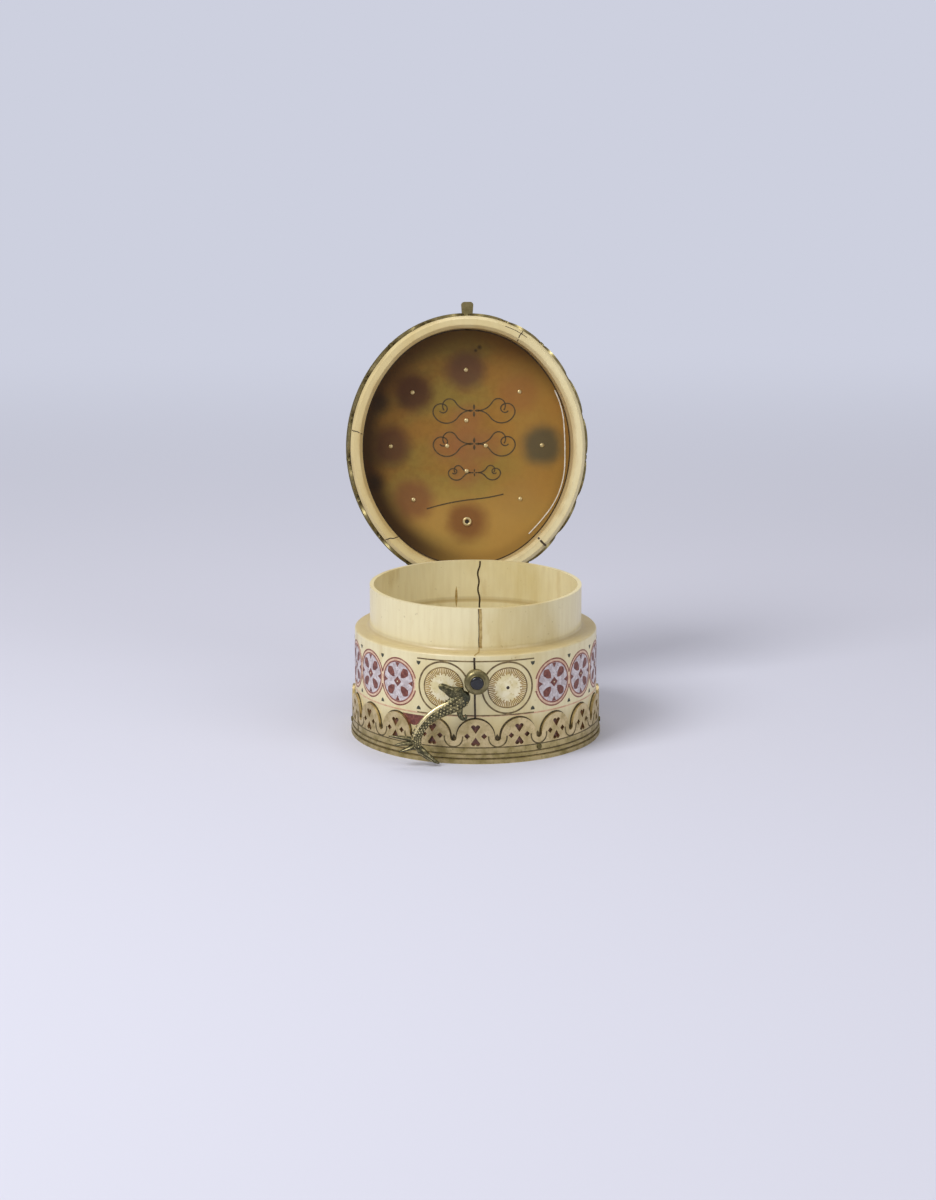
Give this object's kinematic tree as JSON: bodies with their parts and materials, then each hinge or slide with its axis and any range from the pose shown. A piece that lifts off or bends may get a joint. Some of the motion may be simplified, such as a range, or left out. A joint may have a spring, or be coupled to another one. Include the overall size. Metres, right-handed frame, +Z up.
{
  "type": "inlaid keepsake box",
  "caption": "Small oval ivory keepsake box with inlaid roundels, pierced gilt-brass mounts, a hinged lid with a horn panel, and a swinging hook latch.",
  "frame": {"origin": "middle of the flat underside that the box stands on", "axes": "+Z up; the hook, stud and front of the box face -Y; the hinge is at +Y and its pin runs along X"},
  "size_m": [0.077, 0.1218, 0.1224],
  "materials": {
    "ivory": "satin",
    "gilt_brass": "worn satin gilding",
    "cast_brass": "dark cast, gilt on the high parts",
    "red_foil": "red stained foil",
    "pale_inlay": "polished",
    "violet_inlay": "polished",
    "pink_inlay": "polished",
    "red_inlay": "polished",
    "dark_pin": "dark",
    "cabochon": "polished dome",
    "horn": "polished translucent horn"
  },
  "bodies": {
    "root": {"ivory_drum": "ivory", "floor_disc": "ivory", "foot_moulding": "gilt_brass", "base_gallery": "gilt_brass", "base_foils": "red_foil", "base_nails": "gilt_brass", "sunburst_discs": "pale_inlay", "sunburst_pins": "dark_pin", "cross_discs": "violet_inlay", "cross_rings": "pink_inlay", "hinge_lower_leaf": "gilt_brass", "hinge_lower_rivets": "gilt_brass", "hinge_pin": "gilt_brass", "stud_post": "gilt_brass", "stud_collar": "gilt_brass", "stud_cabochon": "cabochon"},
    "lid": {"lid_ring": "ivory", "horn_panel": "horn", "panel_bezel": "gilt_brass", "lid_roundels": "red_inlay", "lid_rosette": "red_inlay", "lid_pins": "gilt_brass", "lid_moulding": "gilt_brass", "lid_gallery": "gilt_brass", "lid_foils": "red_foil", "lid_nails": "gilt_brass", "catch_peg": "gilt_brass", "hinge_upper_leaf": "gilt_brass", "hinge_upper_rivets": "gilt_brass"},
    "latch": {"latch_hook": "cast_brass"}
  },
  "joints": [
    {"name": "lid_hinge", "type": "hinge", "parent": "root", "child": "lid", "pos_m": [0, 0.0449, 0.0341], "axis": [1, 0, 0], "range_deg": [0, 99]},
    {"name": "latch_pivot", "type": "hinge", "parent": "root", "child": "latch", "pos_m": [-0.0017, -0.0442, 0.0255], "axis": [0, 1, 0], "range_deg": [0, 148.5]}
  ]
}
